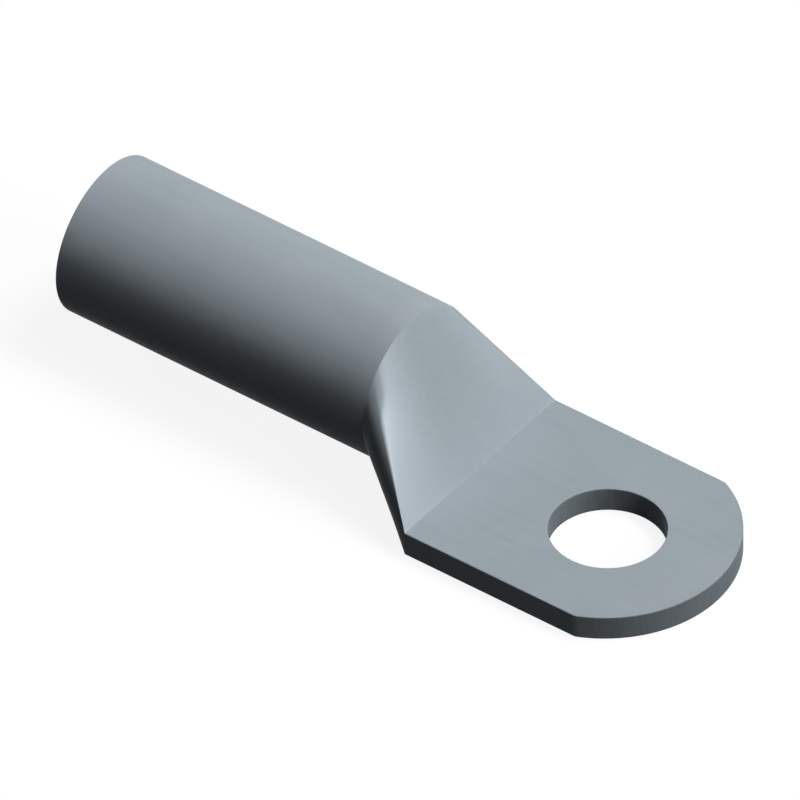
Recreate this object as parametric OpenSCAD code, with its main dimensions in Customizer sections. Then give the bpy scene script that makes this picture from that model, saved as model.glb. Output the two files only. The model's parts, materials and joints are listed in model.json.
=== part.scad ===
// Tube cable lug: a round crimp barrel, pressed flat at one end into a tongue with a stud hole.
// The frame's origin is the centre of the stud hole on the tongue's contact face.
// X runs along the lug from the barrel's mouth towards the tongue's tip, and Z points up.

/* [Barrel] */
// Outer diameter of the round barrel
barrel_od = 15; // [12:0.5:18]
// Wall of the tube that the lug is pressed from
wall = 1.25; // [0.8:0.05:2]
// Length of the round barrel, from its mouth to the transition
barrel_len = 33.5; // [20:0.5:60]
// Height of the barrel's axis above the contact face
axis_h = 8.45; // [6:0.05:14]
// Depth and width of the chamfer inside the mouth
mouth_chamfer = 0.4; // [0.1:0.05:0.7]

/* [Transition] */
// Length over which the round barrel becomes the flat tongue
transition_len = 7.2; // [5:0.1:20]
// Angle above and below the barrel's side at which the transition's edges start
edge_angle = 36; // [15:1:45]

/* [Tongue] */
// Width of the tongue
tongue_w = 22.2; // [17:0.1:24]
// Thickness of the tongue, where both walls of the tube lie pressed together
tongue_t = 2.45; // [1.8:0.05:4]
// Length of the tongue's straight sides, from the bend line to the corners
side_len = 18.5; // [14:0.25:30]
// Radius of the tongue's rounded end
end_r = 12.15; // [11.2:0.05:20]

/* [Stud hole] */
// Diameter of the stud hole
hole_d = 10.5; // [5:0.1:13]
// Distance of the hole's centre from the bend line
hole_setback = 13.9; // [9:0.1:17]

/* [Hidden] */

// Height left between the two walls where the cavity closes
seam_gap = 0.05;
// Step by which the transition is set in from the barrel and the tongue
set_in = 0.01;
// How far the transition reaches into the barrel and the tongue, and cuts reach past a face
lap = 0.5;
// Facets round a circle
circle_facets = 96;
// Facets of the transition across its upper or lower face, and across one side
face_facets = 36;
side_facets = 14;
// Rings of the transition from the barrel to the tongue
loft_steps = 14;

barrel_r = barrel_od / 2;
bore_r = barrel_r - wall;
bend_x = -hole_setback;
shoulder_x = bend_x - transition_len;
mouth_x = shoulder_x - barrel_len;
end_centre_x = bend_x + side_len - sqrt(pow(end_r, 2) - pow(tongue_w / 2, 2));
tip_x = end_centre_x + end_r;

// The upper face falls steeply from the barrel's top to the bend line, and the sides flare
face_drop = axis_h + barrel_r - tongue_t;
face_slope = atan2(face_drop, transition_len);
side_flare = atan2(tongue_w / 2 - barrel_r, transition_len);

// The cavity closes where the inner side of the falling face meets the tongue's middle plane
cavity_end_x = min(bend_x, bend_x + tongue_t / 2 / tan(face_slope) - wall / sin(face_slope));
cavity_end_w = tongue_w - 2 * ((bend_x - cavity_end_x) * tan(side_flare) + wall / cos(side_flare));
bore_end_x = shoulder_x - wall;

// The four stretches round a section: upper face, left side, lower face, right side
stretch_start = [edge_angle, 180 - edge_angle, 180 + edge_angle, 360 - edge_angle];
stretch_end = [180 - edge_angle, 180 + edge_angle, 360 - edge_angle, 360 + edge_angle];
stretch_facets = [face_facets, side_facets, face_facets, side_facets];
ring_facets = 2 * (face_facets + side_facets);

function blend(a, b, f) = a + (b - a) * f;

// Point on the barrel's round section at an angle about its axis
function round_point(x, r, angle) = [x, r * cos(angle), axis_h + r * sin(angle)];

// Corner of the tongue's flat section, counted from its upper right corner
function flat_corner(x, w, h, k) = [
    x,
    (k == 0 || k == 3 ? 1 : -1) * w / 2,
    tongue_t / 2 + (k < 2 ? 1 : -1) * h / 2
];

// Point on a flat section, a share f of the way along one of its four edges
function flat_point(x, w, h, k, f) = blend(flat_corner(x, w, h, k), flat_corner(x, w, h, (k + 1) % 4), f);

// Lean of the outer skin away from the barrel's axis, at an angle about it
function skin_lean(angle, flat) = atan2(
    flat.y * cos(angle) + (flat.z - axis_h) * sin(angle) - barrel_r,
    transition_len
);

// Where the inner skin leaves the bore, so that the wall keeps its thickness through the bend
function inner_start_x(angle, flat) = shoulder_x + wall * tan(skin_lean(angle, flat) / 2);

// Closed ring of the outer skin, a share f of the way along the transition
function outer_ring(f) = [
    for (k = [0:3], i = [0:stretch_facets[k] - 1])
        let (
            share = i / stretch_facets[k],
            angle = blend(stretch_start[k], stretch_end[k], share),
            flat = flat_point(bend_x, tongue_w - 2 * set_in, tongue_t - 2 * set_in, k, share)
        )
        blend(round_point(shoulder_x, barrel_r - set_in, angle), flat, f)
];

// Closed ring of the inner skin, a share f of the way from the bore to the closed end
function inner_ring(f) = [
    for (k = [0:3], i = [0:stretch_facets[k] - 1])
        let (
            share = i / stretch_facets[k],
            angle = blend(stretch_start[k], stretch_end[k], share),
            start_x = inner_start_x(angle, flat_point(bend_x, tongue_w, tongue_t, k, share)),
            flat = flat_point(cavity_end_x, cavity_end_w, seam_gap, k, share)
        )
        blend(round_point(start_x, bore_r - set_in, angle), flat, f)
];

// The same ring moved to one plane across X
function ring_at(ring, x) = [for (p = ring) [x, p.y, p.z]];

// Middle of a ring
function ring_centre(ring) = [for (p = ring) 1 / len(ring)] * ring;

// Skins rings of equal length into one closed solid, with a fan of facets at either end
module skin(rings) {
    count = ring_facets;
    last = (len(rings) - 1) * count;
    first_centre = last + count;
    last_centre = first_centre + 1;
    walls = [
        for (j = [0:len(rings) - 2], i = [0:count - 1])
            let (
                a = j * count + i,
                b = j * count + (i + 1) % count
            )
            each [[a, a + count, b], [b, a + count, b + count]]
    ];
    caps = [
        for (i = [0:count - 1])
            let (next = (i + 1) % count)
            each [[first_centre, i, next], [last_centre, last + next, last + i]]
    ];
    points = [
        for (ring = rings) each ring,
        ring_centre(rings[0]),
        ring_centre(rings[len(rings) - 1])
    ];
    polyhedron(points = points, faces = concat(walls, caps), convexity = 6);
}

module barrel() {
    translate([mouth_x, 0, axis_h])
        rotate([0, 90, 0])
            cylinder(h = barrel_len, r = barrel_r, $fn = circle_facets);
}

module transition() {
    middle = [for (j = [0:loft_steps]) outer_ring(j / loft_steps)];
    skin([
        ring_at(outer_ring(0), shoulder_x - lap),
        each middle,
        ring_at(outer_ring(1), bend_x + lap)
    ]);
}

module tongue() {
    linear_extrude(height = tongue_t)
        intersection() {
            translate([bend_x, -tongue_w / 2])
                square([tip_x - bend_x, tongue_w]);
            union() {
                translate([end_centre_x, 0])
                    circle(r = end_r, $fn = 2 * circle_facets);
                translate([bend_x, -tongue_w / 2])
                    square([end_centre_x - bend_x, tongue_w]);
            }
        }
}

module bore() {
    translate([mouth_x - lap, 0, axis_h])
        rotate([0, 90, 0])
            cylinder(h = bore_end_x - mouth_x + lap, r = bore_r, $fn = circle_facets);
    translate([mouth_x - lap, 0, axis_h])
        rotate([0, 90, 0])
            cylinder(
                h = mouth_chamfer + lap,
                r1 = bore_r + mouth_chamfer + lap,
                r2 = bore_r,
                $fn = circle_facets
            );
}

module cavity() {
    middle = [for (j = [0:loft_steps]) inner_ring(j / loft_steps)];
    skin([ring_at(inner_ring(0), bore_end_x - lap), each middle]);
}

module stud_hole() {
    translate([0, 0, -lap])
        cylinder(h = tongue_t + 2 * lap, d = hole_d, $fn = circle_facets);
}

// The whole lug is one piece of tube: round, then flattened, then pressed solid
module cable_lug() {
    color([0.60, 0.64, 0.67])
        difference() {
            union() {
                barrel();
                transition();
                tongue();
            }
            bore();
            cavity();
            stud_hole();
        }
}

cable_lug();
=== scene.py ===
import json
import math

import bmesh
import bpy
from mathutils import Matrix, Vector


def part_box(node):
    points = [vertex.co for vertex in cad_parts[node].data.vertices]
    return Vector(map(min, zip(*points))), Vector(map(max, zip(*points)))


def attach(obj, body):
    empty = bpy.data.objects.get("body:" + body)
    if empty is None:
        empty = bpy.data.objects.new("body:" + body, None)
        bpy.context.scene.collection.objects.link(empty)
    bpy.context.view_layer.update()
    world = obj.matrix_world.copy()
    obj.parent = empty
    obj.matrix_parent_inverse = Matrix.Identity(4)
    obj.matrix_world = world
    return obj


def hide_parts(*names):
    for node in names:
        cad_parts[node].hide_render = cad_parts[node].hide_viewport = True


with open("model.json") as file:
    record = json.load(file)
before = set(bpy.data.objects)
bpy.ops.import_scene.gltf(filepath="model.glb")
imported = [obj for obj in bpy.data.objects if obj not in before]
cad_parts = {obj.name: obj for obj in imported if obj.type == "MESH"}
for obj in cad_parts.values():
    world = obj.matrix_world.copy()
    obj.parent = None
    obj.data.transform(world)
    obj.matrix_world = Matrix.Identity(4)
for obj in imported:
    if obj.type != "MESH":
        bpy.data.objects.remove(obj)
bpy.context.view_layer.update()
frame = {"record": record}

NODE = "cable_lug"
MM = 0.001

# Sizes that the frame gives: the box of the solid and the mounts of its record
LOW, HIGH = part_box(NODE)
MOUNTS = {mount["name"]: mount for mount in frame["record"]["mounts"]}
HOLE_R = MOUNTS["stud_hole"]["dims"]["r_mm"] * MM
TONGUE_T = MOUNTS["stud_hole"]["dims"]["length_mm"] * MM
BORE_R = MOUNTS["barrel_bore"]["dims"]["r_mm"] * MM
AXIS_H = MOUNTS["barrel_bore"]["pos_m"][2]
BARREL_R = HIGH.z - AXIS_H
WALL = BARREL_R - BORE_R
MOUTH_X = LOW.x
TIP_X = HIGH.x
HALF_W = HIGH.y

# Sizes of the lug that neither gives, as in its source. The angle is in degrees from the barrel's side.
HOLE_SETBACK = 13.9 * MM
TRANSITION_LEN = 7.2 * MM
END_R = 12.15 * MM
EDGE_ANGLE = 36.0
MOUTH_CHAMFER = 0.4 * MM
BEND_X = -HOLE_SETBACK
SHOULDER_X = BEND_X - TRANSITION_LEN
END_CENTRE_X = TIP_X - END_R
CORNER_X = END_CENTRE_X + math.sqrt(END_R ** 2 - HALF_W ** 2)

# Soft edges that pressing, shearing and plating leave on the real lug.
# The spread is in degrees round the barrel, on each side of a crease.
EDGE_R = 0.1 * MM
MOUTH_EDGE_R = 0.13 * MM
HOLE_EDGE_R = 0.09 * MM
CORNER_REACH = 0.2 * MM
CREASE_REACH = 0.012 * MM
CORNER_SPREAD = 2.0
SIDE_SPAN = EDGE_ANGLE + CORNER_SPREAD

# A painted highlight: a bright ridge painted along each upper crease of the falling face, which is also a
# little glossier and more metallic there. Near the shoulder it lies a little inside the crease. Its
# places are shares of the face's half width, from the middle out, or of its length, from the shoulder on.
# The right side, away from the camera, gets less of the painted highlight than the left one.
HIGHLIGHT_START = 0.1
RIDGE_AT_SHOULDER = 0.76
RIDGE_AT_BEND = 0.98
RIDGE_WIDTH = 0.14
RIDGE_TURN_START = 0.15
RIDGE_TURN_END = 0.3
HIGHLIGHT_AT_SHOULDER = 0.7
HIGHLIGHT_FADE_START = 0.45
RIGHT_SIDE_SHARE = 0.2

# Facets of the mesh. FACE_RINGS are shares of the way from the border of the tongue's faces to the hole.
EDGE_STEPS = 4
FACE_STEPS = 48
SIDE_STEPS = 32
HOLE_STEPS = 6
BARREL_STEPS = 14
LOFT_STEPS = 20
OUTLINE_SIDE_STEPS = 22
OUTLINE_END_STEPS = 64
FACE_RINGS = [0.0, 0.015, 0.2, 0.4, 0.6, 0.8, 0.985, 1.0]
WELD = 0.001 * MM

# How far in from the mouth its own rings reach
MOUTH_DEPTH = 2 * MM

# How far from a softened edge its profile starts, in edge radii
PROFILE_START = 4

# Colours of the tin: clouded all over, worn on edges, a painted highlight on the ridges, and painted
# shade where cut
TIN_DARK = (0.315, 0.362, 0.400, 1)
TIN_LIGHT = (0.352, 0.400, 0.436, 1)
TIN_WORN = (0.46, 0.50, 0.53, 1)
TIN_PAINTED_HIGHLIGHT = (0.485, 0.542, 0.592, 1)
# Painted shade: the cut end and the hole's wall are coloured darker, with fine cut marks between these
# two tones
CUT_SHADE_DARK = (0.17, 0.195, 0.215, 1)
CUT_SHADE_LIGHT = (0.25, 0.285, 0.31, 1)
CLOUD_SHARE = 0.6
WEAR_LEAST = 0.2
WEAR_MOST = 0.6

# Patterns of the tin, in waves per millimetre. Draw lines and cut marks are drawn out along themselves.
CLOUDS = 0.16
BROAD_LINES = 1.6
FINE_LINES = 9.0
GRAIN = 14.0
CUT_MARKS = 6.0
LINE_DRAW = 0.03
CUT_DRAW = 0.08
CLOUD_ROUGHNESS = 0.6

# Most values of a noise lie between these two, and most of a fine one between the second two
NOISE_LOW = 0.3
NOISE_HIGH = 0.7
GRAIN_LOW = 0.35
GRAIN_HIGH = 0.65

# Gloss of the tin. It stays low, because its surroundings are white to reflections.
ROUGH_LEAST = 0.46
ROUGH_MOST = 0.52
LINE_ROUGHNESS = 0.03
RIDGE_GLOSS = 0.08
METAL_SHARE = 0.02
RIDGE_METAL_SHARE = 0.11
SPECULAR = 0.01
BUMP_STRENGTH = 0.25
BUMP_DEPTH = 0.01 * MM
LINE_BUMP_SHARE = 0.6

# The camera: a parallel view along the photograph's own direction
VIEW_AZIMUTH = 36.46
VIEW_ELEVATION = 41.02
VIEW_WIDTH = 70.04 * MM
VIEW_DISTANCE = 0.6
MOUTH_LEFT_OF_CENTRE = 25.73 * MM
MOUTH_ABOVE_CENTRE = 14.58 * MM

# The floor's own tone takes the shadow, and its glow brings the rest up to white.
# The lamps add up to about FLOOR_LIGHT on a level face.
FLOOR_SIZE = 3.0
FLOOR_GAP = 0.02 * MM
FLOOR_TONE = 0.12
FLOOR_LIGHT = 0.92
AMBIENT = 0.042

# Sockets of the Mix node when it mixes colours
MIX_FACTOR = 0
MIX_FIRST = 6
MIX_SECOND = 7
MIX_RESULT = 2


def mix(a, b, f):
    return a + (b - a) * f


def smooth(f):
    """0 up to 0 and 1 from 1 on, with a smooth rise between."""
    f = min(max(f, 0.0), 1.0)
    return f * f * (3 - 2 * f)


def shares(steps):
    """Even shares from 0 up to and including 1."""
    return [i / steps for i in range(steps + 1)]


def curve(a, b, c, u):
    """Point on the curve that leaves a towards b and reaches c from b."""
    return mix(mix(a, b, u), mix(b, c, u), u)


def soften(points, reach):
    """A polyline with each inner corner turned into a short curve that starts and ends reach away."""
    out = [points[0]]
    for before, corner, after in zip(points, points[1:], points[2:]):
        start = corner + (before - corner).normalized() * reach
        end = corner + (after - corner).normalized() * reach
        out += [curve(start, corner, end, u) for u in shares(EDGE_STEPS)]
    return out + [points[-1]]


def fill_in(points, start, end, steps):
    """A polyline whose long segment between two neighbouring points is cut into even steps."""
    middle = [mix(points[start], points[end], f) for f in shares(steps)[1:-1]]
    return points[:start + 1] + middle + points[end:]


def edge_profile(wall_at, faces_to, radius, steps):
    """A wall through the tongue at wall_at, with soft edges to the faces that go on to faces_to.

    Its points are (place, height), from the upper face down to the lower one.
    """
    corners = [(faces_to, TONGUE_T), (wall_at, TONGUE_T), (wall_at, 0), (faces_to, 0)]
    wall = soften([Vector(corner) for corner in corners], radius)[1:-1]
    return fill_in(wall, EDGE_STEPS, EDGE_STEPS + 1, steps)


RIM = edge_profile(0, PROFILE_START * EDGE_R, EDGE_R, SIDE_STEPS)


def rim_shares():
    """How far along the rim each of its points lies, from 0 to 1."""
    far = [0.0]
    for a, b in zip(RIM, RIM[1:]):
        far.append(far[-1] + (b - a).length)
    return [f / far[-1] for f in far]


def section():
    """Points round the lug, each as its angle on the barrel and its (y, z) place on the flat tongue."""
    face_half = HALF_W - EDGE_R
    top = [
        (mix(SIDE_SPAN, 180 - SIDE_SPAN, f), Vector((mix(face_half, -face_half, f), TONGUE_T)))
        for f in shares(FACE_STEPS)[1:-1]
    ]
    left = [
        (mix(180 - SIDE_SPAN, 180 + SIDE_SPAN, f), Vector((-HALF_W + p.x, p.y)))
        for f, p in zip(rim_shares(), RIM)
    ]
    bottom = [
        (mix(180 + SIDE_SPAN, 360 - SIDE_SPAN, f), Vector((mix(-face_half, face_half, f), 0)))
        for f in shares(FACE_STEPS)[1:-1]
    ]
    right = [
        (mix(360 + SIDE_SPAN, 360 - SIDE_SPAN, f), Vector((HALF_W - p.x, p.y)))
        for f, p in zip(rim_shares(), RIM)
    ]
    return top + left + bottom + right[::-1]


SECTION = section()


def round_point(x, r, angle):
    """Point on a circle about the barrel's axis."""
    turn = math.radians(angle)
    return Vector((x, r * math.cos(turn), AXIS_H + r * math.sin(turn)))


def round_ring(x, r):
    return [round_point(x, r, angle) for angle, _ in SECTION]


def tube_rows(end_x, r):
    """Rings of the round tube from behind its mouth to end_x."""
    return [round_ring(mix(MOUTH_X + MOUTH_DEPTH, end_x, f), r) for f in shares(BARREL_STEPS)]


def outer_rows():
    """The outer skin from behind the mouth to the start of the flat tongue, ring by ring."""
    reach = CREASE_REACH / TRANSITION_LEN
    crease = Vector((CREASE_REACH, 0, 0))
    starts, skins, ends = [], [], []
    for angle, flat in SECTION:
        shoulder = round_point(SHOULDER_X, BARREL_R, angle)
        bend = Vector((BEND_X, flat.x, flat.y))
        starts.append((shoulder - crease, shoulder, mix(shoulder, bend, reach)))
        skins.append((shoulder, bend))
        ends.append((mix(shoulder, bend, 1 - reach), bend, bend + crease))
    rows = tube_rows(SHOULDER_X - CREASE_REACH, BARREL_R)
    rows += [[curve(a, b, c, u) for a, b, c in starts] for u in shares(EDGE_STEPS)[1:]]
    rows += [[mix(a, b, mix(reach, 1 - reach, f)) for a, b in skins] for f in shares(LOFT_STEPS)[1:-1]]
    rows += [[curve(a, b, c, u) for a, b, c in ends] for u in shares(EDGE_STEPS)]
    return rows


def inner_start_x(angle, flat):
    """Where the inner skin leaves the bore, so that the wall keeps its thickness through the bend."""
    turn = math.radians(angle)
    away = flat.x * math.cos(turn) + (flat.y - AXIS_H) * math.sin(turn) - BARREL_R
    return SHOULDER_X + WALL * math.tan(math.atan2(away, TRANSITION_LEN) / 2)


def inner_rows():
    """The bore and the cavity that narrows until the two walls meet."""
    slope = math.atan2(AXIS_H + BARREL_R - TONGUE_T, TRANSITION_LEN)
    flare = math.atan2(HALF_W - BARREL_R, TRANSITION_LEN)
    end_x = BEND_X + TONGUE_T / 2 / math.tan(slope) - WALL / math.sin(slope)
    end_half = HALF_W - (BEND_X - end_x) * math.tan(flare) - WALL / math.cos(flare)
    pairs = []
    for angle, flat in SECTION:
        start = round_point(inner_start_x(angle, flat), BORE_R, angle)
        pairs.append((start, Vector((end_x, flat.x * end_half / HALF_W, TONGUE_T / 2))))
    cavity = [[mix(a, b, f) for a, b in pairs] for f in shares(LOFT_STEPS)]
    return tube_rows(SHOULDER_X - WALL, BORE_R) + cavity


def mouth_rows():
    """The mouth's end face with its chamfer, from the outer skin round into the bore."""
    corners = [
        Vector((MOUTH_X + MOUTH_DEPTH, BARREL_R)),
        Vector((MOUTH_X, BARREL_R)),
        Vector((MOUTH_X, BORE_R + MOUTH_CHAMFER)),
        Vector((MOUTH_X + MOUTH_CHAMFER, BORE_R)),
        Vector((MOUTH_X + MOUTH_DEPTH, BORE_R)),
    ]
    return [round_ring(p.x, p.y) for p in soften(corners, MOUTH_EDGE_R)]


def half_outline():
    """The tongue's outline on its left side, from the bend line to the tip, as points in plan."""
    corner_turn = math.asin(HALF_W / END_R)
    corner = Vector((END_CENTRE_X + END_R * math.cos(corner_turn), -HALF_W))
    side_start = Vector((BEND_X + CREASE_REACH, -HALF_W))
    side_end = corner - Vector((CORNER_REACH, 0))
    arc_turn = corner_turn - CORNER_REACH / END_R
    arc = [
        Vector((END_CENTRE_X + END_R * math.cos(turn), -END_R * math.sin(turn)))
        for turn in [mix(arc_turn, 0, f) for f in shares(OUTLINE_END_STEPS // 2)]
    ]
    side = [mix(side_start, side_end, f) for f in shares(OUTLINE_SIDE_STEPS)]
    return side + [curve(side_end, corner, arc[0], u) for u in shares(EDGE_STEPS)[1:-1]] + arc


def outline():
    """The whole outline, from the bend line's left end round the tip, with outward normals."""
    left = half_outline()
    points = left + [Vector((p.x, -p.y)) for p in left[-2::-1]]
    out = []
    for i, point in enumerate(points):
        before = points[max(i - 1, 0)]
        after = points[min(i + 1, len(points) - 1)]
        along = (after - before).normalized()
        out.append((point, Vector((along.y, -along.x))))
    return out


OUTLINE = outline()


def rim_rows():
    """The tongue's edge along its sides and its rounded end."""
    rows = []
    for point, normal in OUTLINE:
        rows.append([Vector((*(point - normal * p.x), p.y)) for p in RIM])
    return rows


def face_border(height):
    """The border of the tongue's upper or lower face, from the bend line's right end back to it."""
    face_half = HALF_W - EDGE_R
    bend_x = BEND_X + CREASE_REACH
    bend = [Vector((bend_x, mix(face_half, -face_half, f), height)) for f in shares(FACE_STEPS)]
    return bend + [Vector((*(point - normal * EDGE_R), height)) for point, normal in OUTLINE[1:-1]]


def hole_ring(r, height):
    """A ring about the hole's axis, with its points in the directions of the border's points."""
    turns = [math.atan2(p.y, p.x) for p in face_border(height)]
    return [Vector((r * math.cos(turn), r * math.sin(turn), height)) for turn in turns]


def face_rows(height):
    """A face of the tongue as rings from its border to the hole."""
    border = face_border(height)
    edge = hole_ring(HOLE_R + HOLE_EDGE_R, height)
    return [[mix(a, b, f) for a, b in zip(border, edge)] for f in FACE_RINGS]


def hole_rows():
    """The hole's wall, with its edges softened by the punch and the plating."""
    deep = HOLE_R + PROFILE_START * HOLE_EDGE_R
    return [hole_ring(p.x, p.y) for p in edge_profile(HOLE_R, deep, HOLE_EDGE_R, HOLE_STEPS)]


def add_rows(bm, rows, closed=True, mark=None, levels=None):
    """Quads between neighbouring rows of equally many points, which carry the levels as a mark."""
    grid = [[bm.verts.new(p) for p in row] for row in rows]
    if mark:
        layer = bm.verts.layers.float[mark]
        for row, row_levels in zip(grid, levels):
            for vert, level in zip(row, row_levels):
                vert[layer] = level
    count = len(rows[0])
    last = count if closed else count - 1
    for upper, lower in zip(grid, grid[1:]):
        for i in range(last):
            j = (i + 1) % count
            bm.faces.new((upper[i], upper[j], lower[j], lower[i]))


def mark_edges(bm):
    """Marks where the metal turns a sharp edge outwards, for the worn look there."""
    layer = bm.verts.layers.float["worn"]
    for vert in bm.verts:
        turns = [e.calc_face_angle_signed(0) / max(e.calc_length(), WELD) for e in vert.link_edges]
        vert[layer] = min(max(max(turns) * EDGE_R, 0.0), 1.0)


def gloss_and_painted_highlight(ring):
    """How much painted highlight, with its gloss and metal, each point of a ring gets, from 0 to 1: only
    on the falling face.
    """
    out = []
    for (angle, _), point in zip(SECTION, ring):
        across = abs(angle - 90) / (90 - EDGE_ANGLE)
        along = (point.x - SHOULDER_X) / TRANSITION_LEN
        turned = smooth((along - RIDGE_TURN_START) / (RIDGE_TURN_END - RIDGE_TURN_START))
        ridge = mix(RIDGE_AT_SHOULDER, RIDGE_AT_BEND, turned)
        rise = smooth((across - HIGHLIGHT_START) / (ridge - HIGHLIGHT_START))
        fall = smooth((ridge + RIDGE_WIDTH - across) / RIDGE_WIDTH)
        level = mix(HIGHLIGHT_AT_SHOULDER, 1, turned) * min(1, 1 + HIGHLIGHT_FADE_START - along)
        side = 1 if angle > 90 else RIGHT_SIDE_SHARE
        on_face = 0 <= along <= 1 and angle <= 180 - EDGE_ANGLE + CORNER_SPREAD
        out.append(rise * fall * level * side if on_face else 0.0)
    return out


# Where the cut end gets its cut marks and its painted shade
def sheared_rim(x):
    """1 on the cut end of the tongue and 0 on its straight sides, which are folds of the tube."""
    share = smooth((x - CORNER_X) / CORNER_REACH + 0.5)
    return [share * (1 - min(p.x / EDGE_R, 1)) for p in RIM]


# Where the hole's wall gets its cut marks and its painted shade
def sheared_hole(ring):
    """1 on the punched wall of the hole and 0 where its edge meets the faces."""
    return [1 - min((point.xy.length - HOLE_R) / HOLE_EDGE_R, 1) for point in ring]


def lug_mesh():
    """One closed skin: outside, mouth, bore, cavity, tongue and hole."""
    bm = bmesh.new()
    for mark in ("worn", "gloss_and_painted_highlight", "cut_marks_and_shade"):
        bm.verts.layers.float.new(mark)
    skin = outer_rows()
    add_rows(bm, skin, mark="gloss_and_painted_highlight", levels=[gloss_and_painted_highlight(row) for row in skin])
    add_rows(bm, mouth_rows())
    add_rows(bm, inner_rows())
    cut_end = [sheared_rim(point.x) for point, _ in OUTLINE]
    add_rows(bm, rim_rows(), closed=False, mark="cut_marks_and_shade", levels=cut_end)
    add_rows(bm, face_rows(TONGUE_T))
    add_rows(bm, face_rows(0))
    hole = hole_rows()
    add_rows(bm, hole, mark="cut_marks_and_shade", levels=[sheared_hole(row) for row in hole])
    bmesh.ops.remove_doubles(bm, verts=bm.verts, dist=WELD)
    bmesh.ops.dissolve_degenerate(bm, edges=bm.edges, dist=WELD / 2)
    bmesh.ops.recalc_face_normals(bm, faces=bm.faces)
    mark_edges(bm)
    mesh = bpy.data.meshes.new(NODE)
    bm.to_mesh(mesh)
    bm.free()
    mesh.polygons.foreach_set("use_smooth", [True] * len(mesh.polygons))
    return mesh


def build_lug():
    lug = bpy.data.objects.new("tinned_lug", lug_mesh())
    bpy.context.scene.collection.objects.link(lug)
    normals = lug.modifiers.new("flat faces stay flat", "WEIGHTED_NORMAL")
    normals.mode = "FACE_AREA"
    return lug


class Nodes:
    """Short calls for building one material's node tree."""

    def __init__(self, material):
        material.use_nodes = True
        self.tree = material.node_tree
        self.tree.nodes.clear()

    def add(self, kind, inputs=None, **settings):
        node = self.tree.nodes.new(kind)
        for name, value in settings.items():
            setattr(node, name, value)
        for name, value in (inputs or {}).items():
            socket = node.inputs[name]
            if isinstance(value, bpy.types.NodeSocket):
                self.tree.links.new(value, socket)
            else:
                socket.default_value = value
        return node

    def mark(self, name):
        return self.add("ShaderNodeAttribute", attribute_name=name).outputs["Fac"]

    def math(self, operation, a, b):
        return self.add("ShaderNodeMath", {0: a, 1: b}, operation=operation).outputs[0]

    def noise(self, vector, scale, detail, roughness=0.5):
        inputs = {"Vector": vector, "Scale": scale, "Detail": detail, "Roughness": roughness}
        return self.add("ShaderNodeTexNoise", inputs).outputs["Fac"]

    def stretch(self, vector, x, y, z):
        inputs = {"Vector": vector, "Scale": (x, y, z)}
        return self.add("ShaderNodeMapping", inputs).outputs["Vector"]

    def between(self, value, low, high, out_low, out_high):
        inputs = {
            "Value": value,
            "From Min": low,
            "From Max": high,
            "To Min": out_low,
            "To Max": out_high,
        }
        return self.add("ShaderNodeMapRange", inputs).outputs["Result"]

    def from_noise(self, noise, out_low, out_high):
        return self.between(noise, NOISE_LOW, NOISE_HIGH, out_low, out_high)

    def colours(self, factor, first, second):
        inputs = {MIX_FACTOR: factor, MIX_FIRST: first, MIX_SECOND: second}
        return self.add("ShaderNodeMix", inputs, data_type="RGBA").outputs[MIX_RESULT]


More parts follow.
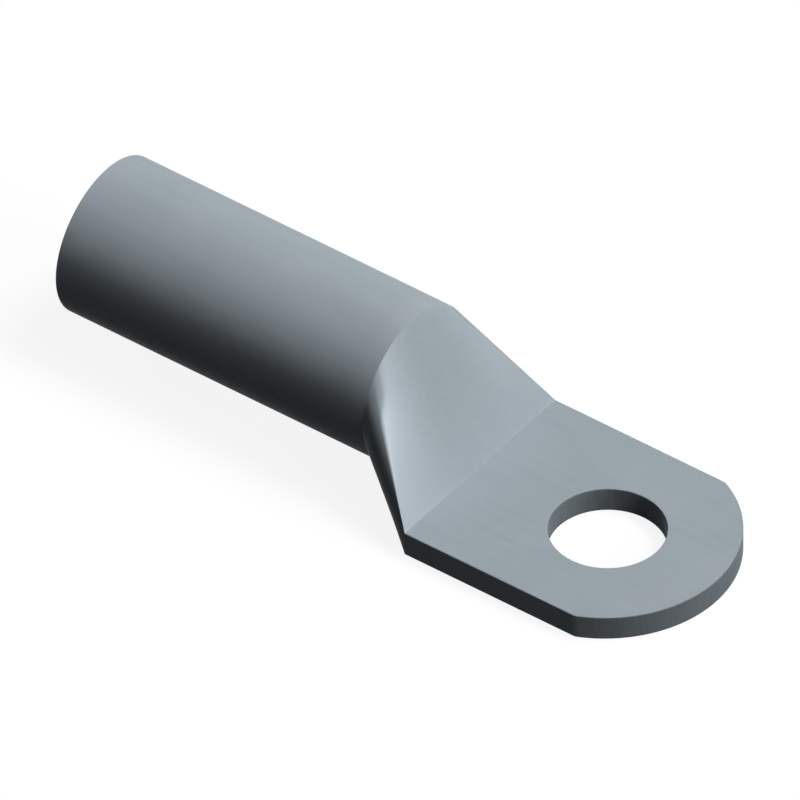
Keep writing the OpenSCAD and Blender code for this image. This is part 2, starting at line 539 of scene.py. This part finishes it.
def tinned_copper():
    """Satin tin plating over drawn tube: a cool grey with draw lines along the lug and worn edges."""
    material = bpy.data.materials.new("tinned_copper")
    n = Nodes(material)
    place = n.add("ShaderNodeTexCoord").outputs["Object"]
    in_mm = n.stretch(place, 1 / MM, 1 / MM, 1 / MM)

    # Draw lines run along the tube, so the noise is drawn out along X
    along = n.stretch(in_mm, LINE_DRAW, 1, 1)
    fine_lines = n.noise(along, FINE_LINES, detail=3)
    broad_lines = n.noise(along, BROAD_LINES, detail=2)
    clouds = n.noise(in_mm, CLOUDS, detail=4, roughness=CLOUD_ROUGHNESS)
    grain = n.noise(in_mm, GRAIN, detail=2)

    cloud_tone = n.from_noise(clouds, 0, CLOUD_SHARE)
    tone = n.math("ADD", cloud_tone, n.from_noise(broad_lines, 0, 1 - CLOUD_SHARE))
    metal = n.colours(tone, TIN_DARK, TIN_LIGHT)
    wear = n.between(grain, GRAIN_LOW, GRAIN_HIGH, WEAR_LEAST, WEAR_MOST)
    colour = n.colours(n.math("MULTIPLY", n.mark("worn"), wear), metal, TIN_WORN)

    # The punch and the shears leave fine marks across the wall's thickness; the wall's darker tone is
    # painted shade
    marks = n.noise(n.stretch(in_mm, 1, 1, CUT_DRAW), CUT_MARKS, detail=3)
    colour = n.colours(n.mark("cut_marks_and_shade"), colour, n.colours(marks, CUT_SHADE_DARK, CUT_SHADE_LIGHT))

    # Painted highlight: the creases of the falling face are coloured brighter, and are also smoother and
    # more metallic
    ridge_gloss_and_highlight = n.mark("gloss_and_painted_highlight")
    colour = n.colours(ridge_gloss_and_highlight, colour, TIN_PAINTED_HIGHLIGHT)
    line_rough = n.from_noise(fine_lines, -LINE_ROUGHNESS, LINE_ROUGHNESS)
    rough = n.math("ADD", n.from_noise(clouds, ROUGH_LEAST, ROUGH_MOST), line_rough)
    rough = n.math("SUBTRACT", rough, n.math("MULTIPLY", ridge_gloss_and_highlight, RIDGE_GLOSS))

    line_height = n.math("MULTIPLY", fine_lines, LINE_BUMP_SHARE)
    height = n.math("ADD", line_height, n.math("MULTIPLY", grain, 1 - LINE_BUMP_SHARE))
    bump = {"Height": height, "Strength": BUMP_STRENGTH, "Distance": BUMP_DEPTH}
    shader = n.add(
        "ShaderNodeBsdfPrincipled",
        {
            "Base Color": colour,
            "Metallic": n.between(ridge_gloss_and_highlight, 0, 1, METAL_SHARE, RIDGE_METAL_SHARE),
            "Roughness": rough,
            "Specular IOR Level": SPECULAR,
            "Normal": n.add("ShaderNodeBump", bump).outputs["Normal"],
        },
    )
    n.add("ShaderNodeOutputMaterial", {"Surface": shader.outputs["BSDF"]})
    return material


def seen_directly(n):
    """1 for the camera and for mirror and glass rays, and 0 for the light that surfaces spread."""
    path = n.add("ShaderNodeLightPath")
    direct = n.math("MAXIMUM", path.outputs["Is Camera Ray"], path.outputs["Is Glossy Ray"])
    return n.math("MAXIMUM", direct, path.outputs["Is Transmission Ray"])


def build_floor():
    """A plain pale floor that keeps the lug's soft shadow."""
    bpy.ops.mesh.primitive_plane_add(size=FLOOR_SIZE, location=(0, 0, LOW.z - FLOOR_GAP))
    floor = bpy.context.object
    floor.name = "floor"
    material = bpy.data.materials.new("pale_floor")
    n = Nodes(material)
    direct = seen_directly(n)
    paper = n.add("ShaderNodeBsdfDiffuse", {"Color": n.math("MULTIPLY", direct, FLOOR_TONE)})
    glow_level = n.math("MULTIPLY", direct, 1 - FLOOR_LIGHT * FLOOR_TONE)
    glow = n.add("ShaderNodeEmission", {"Strength": glow_level})
    both = n.add("ShaderNodeAddShader", {0: paper.outputs[0], 1: glow.outputs[0]})
    n.add("ShaderNodeOutputMaterial", {"Surface": both.outputs[0]})
    floor.data.materials.append(material)


def build_world():
    """White to the camera and in reflections, and a low plain light for everything else."""
    world = bpy.data.worlds.new("studio")
    bpy.context.scene.world = world
    n = Nodes(world)
    strength = n.between(seen_directly(n), 0, 1, AMBIENT, 1.0)
    sky = n.add("ShaderNodeBackground", {"Color": (1, 1, 1, 1), "Strength": strength})
    n.add("ShaderNodeOutputWorld", {"Surface": sky.outputs[0]})


def add_sun(name, towards, spread, level):
    """A soft far lamp. Level 1 shows a face that looks at it in the face's own colour."""
    sun = bpy.data.lights.new(name, "SUN")
    sun.angle = math.radians(spread)
    sun.energy = level * math.pi
    obj = bpy.data.objects.new(name, sun)
    bpy.context.scene.collection.objects.link(obj)
    obj.rotation_euler = Vector(towards).to_track_quat("Z", "Y").to_euler()


def build_lamps():
    """Two lamps that shade the lug as in the photograph, and one that shows its mouth from behind."""
    add_sun("overhead", towards=(0.36, 0.31, 0.88), spread=24, level=0.80)
    add_sun("end_side", towards=(0.83, 0.0, 0.56), spread=24, level=0.33)
    add_sun("mouth_side", towards=(-0.89, 0.45, 0.08), spread=8, level=0.30)


def build_camera():
    """Looks at the lug as the photograph does, with the barrel's mouth where it lies in its frame."""
    turn = math.radians(VIEW_AZIMUTH)
    rise = math.radians(VIEW_ELEVATION)
    level_back = Vector((math.sin(turn), -math.cos(turn), 0))
    back = level_back * math.cos(rise) + Vector((0, 0, math.sin(rise)))
    right = Vector((math.cos(turn), math.sin(turn), 0))
    up = back.cross(right)
    mouth = Vector((MOUTH_X, 0, AXIS_H))
    middle = mouth + right * MOUTH_LEFT_OF_CENTRE - up * MOUTH_ABOVE_CENTRE
    data = bpy.data.cameras.new("camera")
    data.type = "ORTHO"
    data.ortho_scale = VIEW_WIDTH
    camera = bpy.data.objects.new("camera", data)
    bpy.context.scene.collection.objects.link(camera)
    camera.location = middle + back * VIEW_DISTANCE
    camera.rotation_euler = back.to_track_quat("Z", "Y").to_euler()
    bpy.context.scene.camera = camera


lug = build_lug()
lug.data.materials.append(tinned_copper())
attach(lug, "root")
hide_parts(NODE)
build_floor()
build_world()
build_lamps()
build_camera()
bpy.context.scene.view_settings.view_transform = "Standard"
